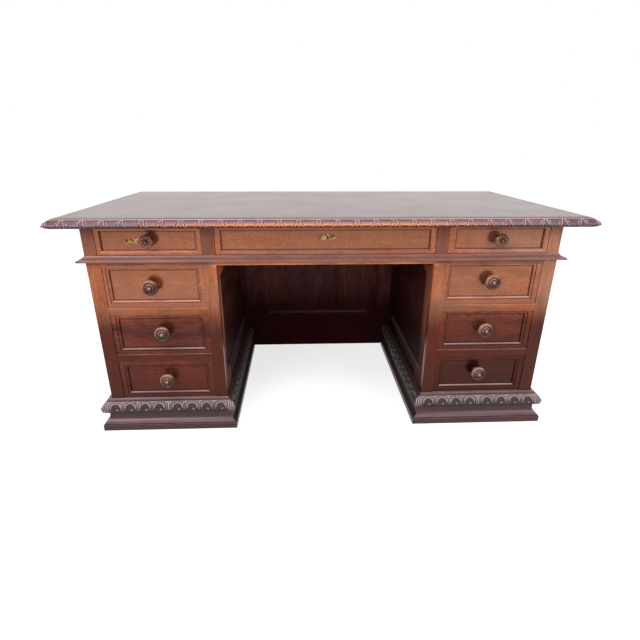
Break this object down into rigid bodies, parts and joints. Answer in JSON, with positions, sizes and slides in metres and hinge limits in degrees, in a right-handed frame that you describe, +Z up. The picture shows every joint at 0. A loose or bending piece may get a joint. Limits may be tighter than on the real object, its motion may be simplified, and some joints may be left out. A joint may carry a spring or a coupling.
{
  "type": "pedestal desk",
  "caption": "Large carved wooden kneehole desk: broad top with a carved edge, frieze drawers over two drawer pedestals on carved bases, turned knobs, brass escutcheons.",
  "frame": {"origin": "on the floor, at the centre of the desk's outline", "axes": "+Z up, +X along the desk's length to the right of someone who faces the drawers, -Y out of the drawer side towards the sitter"},
  "size_m": [1.74, 0.876, 0.785],
  "materials": {
    "case_wood": "polished, worn along the edges",
    "dark_wood": "carved, polished on the high spots and dark in the hollows",
    "drawer_front_wood": "polished",
    "knob_wood": "turned and carved, worn",
    "inside_wood": "planed, unpolished",
    "brass": "aged",
    "iron": "dull"
  },
  "bodies": {
    "case": {"desktop_panel": "case_wood", "top_edge_moulding": "dark_wood", "frieze_posts": "case_wood", "frieze_rails": "case_wood", "frieze_ends": "case_wood", "frieze_partitions": "inside_wood", "dust_board": "inside_wood", "waist_moulding": "case_wood", "modesty_frame": "case_wood", "modesty_panel": "case_wood", "left_front_stiles": "case_wood", "left_drawer_rails": "case_wood", "left_runners": "inside_wood", "left_outer_side": "case_wood", "left_inner_side": "case_wood", "left_back": "case_wood", "left_bottom_board": "inside_wood", "left_plinth": "dark_wood", "left_carved_base": "dark_wood", "right_front_stiles": "case_wood", "right_drawer_rails": "case_wood", "right_runners": "inside_wood", "right_outer_side": "case_wood", "right_inner_side": "case_wood", "right_back": "case_wood", "right_bottom_board": "inside_wood", "right_plinth": "dark_wood", "right_carved_base": "dark_wood"},
    "top_left_drawer": {"top_left_drawer_front": "drawer_front_wood", "top_left_drawer_box": "inside_wood", "top_left_drawer_knob": "knob_wood", "top_left_escutcheon": "brass", "top_left_lock_case": "iron"},
    "top_left_bolt": {"top_left_lock_bolt": "iron"},
    "top_centre_drawer": {"top_centre_drawer_front": "drawer_front_wood", "top_centre_drawer_box": "inside_wood", "top_centre_escutcheon": "brass", "top_centre_lock_case": "iron"},
    "top_centre_bolt": {"top_centre_lock_bolt": "iron"},
    "top_right_drawer": {"top_right_drawer_front": "drawer_front_wood", "top_right_drawer_box": "inside_wood", "top_right_drawer_knob": "knob_wood"},
    "left_lower_drawer": {"left_lower_drawer_front": "drawer_front_wood", "left_lower_drawer_box": "inside_wood", "left_lower_drawer_knob": "knob_wood"},
    "left_middle_drawer": {"left_middle_drawer_front": "drawer_front_wood", "left_middle_drawer_box": "inside_wood", "left_middle_drawer_knob": "knob_wood"},
    "left_upper_drawer": {"left_upper_drawer_front": "drawer_front_wood", "left_upper_drawer_box": "inside_wood", "left_upper_drawer_knob": "knob_wood"},
    "right_lower_drawer": {"right_lower_drawer_front": "drawer_front_wood", "right_lower_drawer_box": "inside_wood", "right_lower_drawer_knob": "knob_wood"},
    "right_middle_drawer": {"right_middle_drawer_front": "drawer_front_wood", "right_middle_drawer_box": "inside_wood", "right_middle_drawer_knob": "knob_wood"},
    "right_upper_drawer": {"right_upper_drawer_front": "drawer_front_wood", "right_upper_drawer_box": "inside_wood", "right_upper_drawer_knob": "knob_wood"}
  },
  "joints": [
    {"name": "top_left_drawer_slide", "type": "slide", "parent": "case", "child": "top_left_drawer", "axis": [0, -1, 0], "range_m": [0, 0.44]},
    {"name": "top_left_bolt_slide", "type": "slide", "parent": "top_left_drawer", "child": "top_left_bolt", "axis": [0, 0, 1], "range_m": [0, 0.006]},
    {"name": "top_centre_drawer_slide", "type": "slide", "parent": "case", "child": "top_centre_drawer", "axis": [0, -1, 0], "range_m": [0, 0.44]},
    {"name": "top_centre_bolt_slide", "type": "slide", "parent": "top_centre_drawer", "child": "top_centre_bolt", "axis": [0, 0, 1], "range_m": [0, 0.006]},
    {"name": "top_right_drawer_slide", "type": "slide", "parent": "case", "child": "top_right_drawer", "axis": [0, -1, 0], "range_m": [0, 0.44]},
    {"name": "left_lower_drawer_slide", "type": "slide", "parent": "case", "child": "left_lower_drawer", "axis": [0, -1, 0], "range_m": [0, 0.44]},
    {"name": "left_middle_drawer_slide", "type": "slide", "parent": "case", "child": "left_middle_drawer", "axis": [0, -1, 0], "range_m": [0, 0.44]},
    {"name": "left_upper_drawer_slide", "type": "slide", "parent": "case", "child": "left_upper_drawer", "axis": [0, -1, 0], "range_m": [0, 0.44]},
    {"name": "right_lower_drawer_slide", "type": "slide", "parent": "case", "child": "right_lower_drawer", "axis": [0, -1, 0], "range_m": [0, 0.44]},
    {"name": "right_middle_drawer_slide", "type": "slide", "parent": "case", "child": "right_middle_drawer", "axis": [0, -1, 0], "range_m": [0, 0.44]},
    {"name": "right_upper_drawer_slide", "type": "slide", "parent": "case", "child": "right_upper_drawer", "axis": [0, -1, 0], "range_m": [0, 0.44]}
  ]
}
